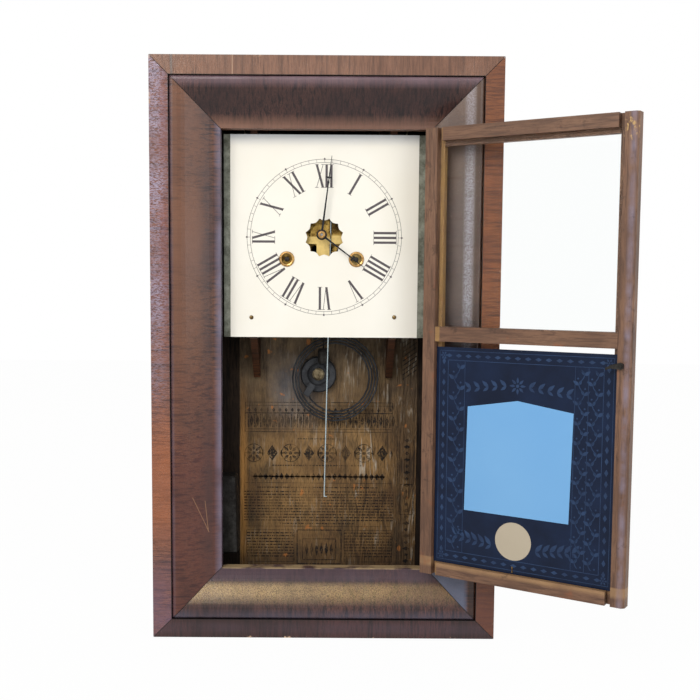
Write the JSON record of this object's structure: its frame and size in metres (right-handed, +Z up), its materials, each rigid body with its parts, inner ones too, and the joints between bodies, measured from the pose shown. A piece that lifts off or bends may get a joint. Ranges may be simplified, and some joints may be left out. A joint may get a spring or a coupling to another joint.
{
  "type": "ogee shelf clock",
  "caption": "Weight-driven shelf clock in a veneered ogee frame case, with a glazed door, dial, hands, train, gong and pendulum rod.",
  "frame": {"origin": "middle of the underside of the case", "axes": "+X to the clock's right as seen from the front, +Y to the back, +Z up"},
  "size_m": [0.5134, 0.2379, 0.66],
  "materials": {
    "band_veneer": "satin varnish",
    "ogee_veneer": "glossy varnish",
    "dark_wood": "bare",
    "door_wood": "worn varnish",
    "paper": "matt",
    "clear_glass": "clear",
    "painted_glass": "painted behind",
    "zinc": "dull",
    "dial_paint": "satin",
    "brass": "satin",
    "steel": "satin",
    "black_steel": "blued",
    "iron": "rough",
    "cord": "twisted"
  },
  "bodies": {
    "case": {"backboard": "dark_wood", "side_board_left": "band_veneer", "side_board_right": "band_veneer", "top_board": "band_veneer", "bottom_board": "band_veneer", "ogee_moulding_left": "ogee_veneer", "ogee_moulding_right": "ogee_veneer", "ogee_moulding_top": "ogee_veneer", "ogee_moulding_bottom": "ogee_veneer", "label_paper": "paper", "movement_rail_left": "dark_wood", "movement_rail_right": "dark_wood", "dial_pan": "zinc", "dial_plate": "dial_paint", "winding_grommet_left": "brass", "winding_grommet_right": "brass", "hinge_upper_case_leaf": "brass", "hinge_lower_case_leaf": "brass", "strike_pulley_bracket": "iron", "time_pulley_bracket": "iron", "movement_front_plate": "brass", "movement_back_plate": "brass", "gong_base": "iron", "gong_coil": "black_steel", "gong_screw": "steel", "strike_cord": "cord", "time_cord": "cord"},
    "door": {"door_hinge_stile": "door_wood", "door_free_stile": "door_wood", "door_top_rail": "door_wood", "door_mid_rail": "door_wood", "door_bottom_rail": "door_wood", "door_glass": "clear_glass", "door_tablet": "painted_glass", "hinge_upper_door_leaf": "brass", "hinge_lower_door_leaf": "brass"},
    "latch": {"door_latch": "iron"},
    "minute": {"minute_arbor": "steel", "minute_hand": "black_steel"},
    "hour": {"hour_pipe": "brass", "hour_hand": "black_steel"},
    "minute_wheel": {"minute_wheel": "brass"},
    "time_great": {"time_great_wheel": "brass"},
    "time_second": {"time_second_wheel": "brass"},
    "time_third": {"time_third_wheel": "brass"},
    "escape": {"escape_wheel": "brass"},
    "time_drum": {"time_drum": "steel"},
    "time_weight": {"time_weight": "iron"},
    "time_pulley": {"time_pulley": "dark_wood"},
    "strike_drum": {"strike_drum": "steel"},
    "strike_weight": {"strike_weight": "iron"},
    "strike_pulley": {"strike_pulley": "dark_wood"},
    "strike_pin": {"strike_pin_wheel": "brass"},
    "strike_great": {"strike_great_wheel": "brass", "count_wheel": "brass"},
    "strike_warning": {"strike_warning_wheel": "brass"},
    "fly": {"strike_fly": "brass"},
    "pendulum": {"pendulum_rod": "steel"},
    "verge": {"verge": "steel"},
    "hammer": {"hammer": "iron"}
  },
  "joints": [
    {"name": "door_hinge", "type": "hinge", "parent": "case", "child": "door", "pos_m": [0.119, -0.0402, 0.33], "axis": [0, 0, 1], "range_deg": [-146.6, 17]},
    {"name": "latch_turn", "type": "hinge", "parent": "door", "child": "latch", "pos_m": [0.3103, -0.16299, 0.3284], "axis": [-0.5505, -0.8348, 0], "range_deg": [0, 180]},
    {"name": "minute_turn", "type": "hinge", "parent": "case", "child": "minute", "pos_m": [-0.005, 0.012, 0.465], "axis": [0, 1, 0], "continuous": true},
    {"name": "hour_turn", "type": "hinge", "parent": "case", "child": "hour", "pos_m": [-0.005, 0.012, 0.465], "axis": [0, 1, 0], "continuous": true},
    {"name": "minute_wheel_turn", "type": "hinge", "parent": "case", "child": "minute_wheel", "pos_m": [-0.005, 0.012, 0.4818], "axis": [0, 1, 0], "continuous": true},
    {"name": "time_great_turn", "type": "hinge", "parent": "case", "child": "time_great", "pos_m": [0.0353, 0.012, 0.437], "axis": [0, 1, 0], "continuous": true},
    {"name": "time_second_turn", "type": "hinge", "parent": "case", "child": "time_second", "pos_m": [0.01649, 0.012, 0.46652], "axis": [0, 1, 0], "continuous": true},
    {"name": "time_third_turn", "type": "hinge", "parent": "case", "child": "time_third", "pos_m": [0.01316, 0.012, 0.48543], "axis": [0, 1, 0], "continuous": true},
    {"name": "escape_turn", "type": "hinge", "parent": "case", "child": "escape", "pos_m": [0.0067, 0.012, 0.50204], "axis": [0, 1, 0], "continuous": true},
    {"name": "time_weight_travel", "type": "slide", "parent": "case", "child": "time_weight", "axis": [0, 0, 1], "range_m": [-0.328, 0.129], "deforming": ["time_cord"]},
    {"name": "time_winding", "type": "hinge", "parent": "case", "child": "time_drum", "pos_m": [0.0353, 0.012, 0.437], "axis": [0, 1, 0], "range_deg": [-1448, 571]},
    {"name": "time_pulley_turn", "type": "hinge", "parent": "case", "child": "time_pulley", "pos_m": [0.119, 0.012, 0.617], "axis": [0, 1, 0], "range_deg": [-520, 1318]},
    {"name": "strike_weight_travel", "type": "slide", "parent": "case", "child": "strike_weight", "axis": [0, 0, 1], "range_m": [-0.0614, 0.395], "deforming": ["strike_cord"]},
    {"name": "strike_winding", "type": "hinge", "parent": "case", "child": "strike_drum", "pos_m": [-0.0453, 0.012, 0.437], "axis": [0, 1, 0], "range_deg": [-1745, 275]},
    {"name": "strike_pulley_turn", "type": "hinge", "parent": "case", "child": "strike_pulley", "pos_m": [-0.119, 0.012, 0.617], "axis": [0, 1, 0], "range_deg": [-250, 1587]},
    {"name": "strike_pin_turn", "type": "hinge", "parent": "case", "child": "strike_pin", "pos_m": [-0.0265, 0.012, 0.46652], "axis": [0, 1, 0], "continuous": true},
    {"name": "strike_great_turn", "type": "hinge", "parent": "case", "child": "strike_great", "pos_m": [-0.0453, 0.012, 0.437], "axis": [0, 1, 0], "continuous": true},
    {"name": "strike_warning_turn", "type": "hinge", "parent": "case", "child": "strike_warning", "pos_m": [-0.02316, 0.012, 0.48543], "axis": [0, 1, 0], "continuous": true},
    {"name": "fly_turn", "type": "hinge", "parent": "case", "child": "fly", "pos_m": [-0.03012, 0.012, 0.50183], "axis": [0, 1, 0], "continuous": true},
    {"name": "pendulum_swing", "type": "hinge", "parent": "case", "child": "pendulum", "pos_m": [0.0067, 0.012, 0.526], "axis": [0, 1, 0], "range_deg": [-2.4, 4]},
    {"name": "verge_rock", "type": "hinge", "parent": "case", "child": "verge", "pos_m": [0.0067, 0.012, 0.526], "axis": [0, 1, 0], "range_deg": [-2.4, 4]},
    {"name": "hammer_lift", "type": "hinge", "parent": "case", "child": "hammer", "pos_m": [-0.0024, 0.012, 0.399], "axis": [0, 1, 0], "range_deg": [-10, 1]}
  ],
  "couplings": [
    {"joint": "hour_turn", "follows": "minute_turn", "ratio": 0.083333},
    {"joint": "minute_wheel_turn", "follows": "minute_turn", "ratio": -0.33333},
    {"joint": "time_second_turn", "follows": "minute_turn", "ratio": -1},
    {"joint": "time_great_turn", "follows": "minute_turn", "ratio": 0.16667},
    {"joint": "time_third_turn", "follows": "minute_turn", "ratio": 9},
    {"joint": "escape_turn", "follows": "minute_turn", "ratio": -72},
    {"joint": "time_winding", "follows": "time_weight_travel", "rad_per_m": 76.923},
    {"joint": "time_pulley_turn", "follows": "time_weight_travel", "rad_per_m": -69.93},
    {"joint": "strike_winding", "follows": "strike_weight_travel", "rad_per_m": -76.923},
    {"joint": "strike_pulley_turn", "follows": "strike_weight_travel", "rad_per_m": 69.93},
    {"joint": "strike_great_turn", "follows": "strike_pin_turn", "ratio": -0.16667},
    {"joint": "strike_warning_turn", "follows": "strike_pin_turn", "ratio": -9},
    {"joint": "fly_turn", "follows": "strike_pin_turn", "ratio": 72},
    {"joint": "verge_rock", "follows": "pendulum_swing", "ratio": 1}
  ]
}
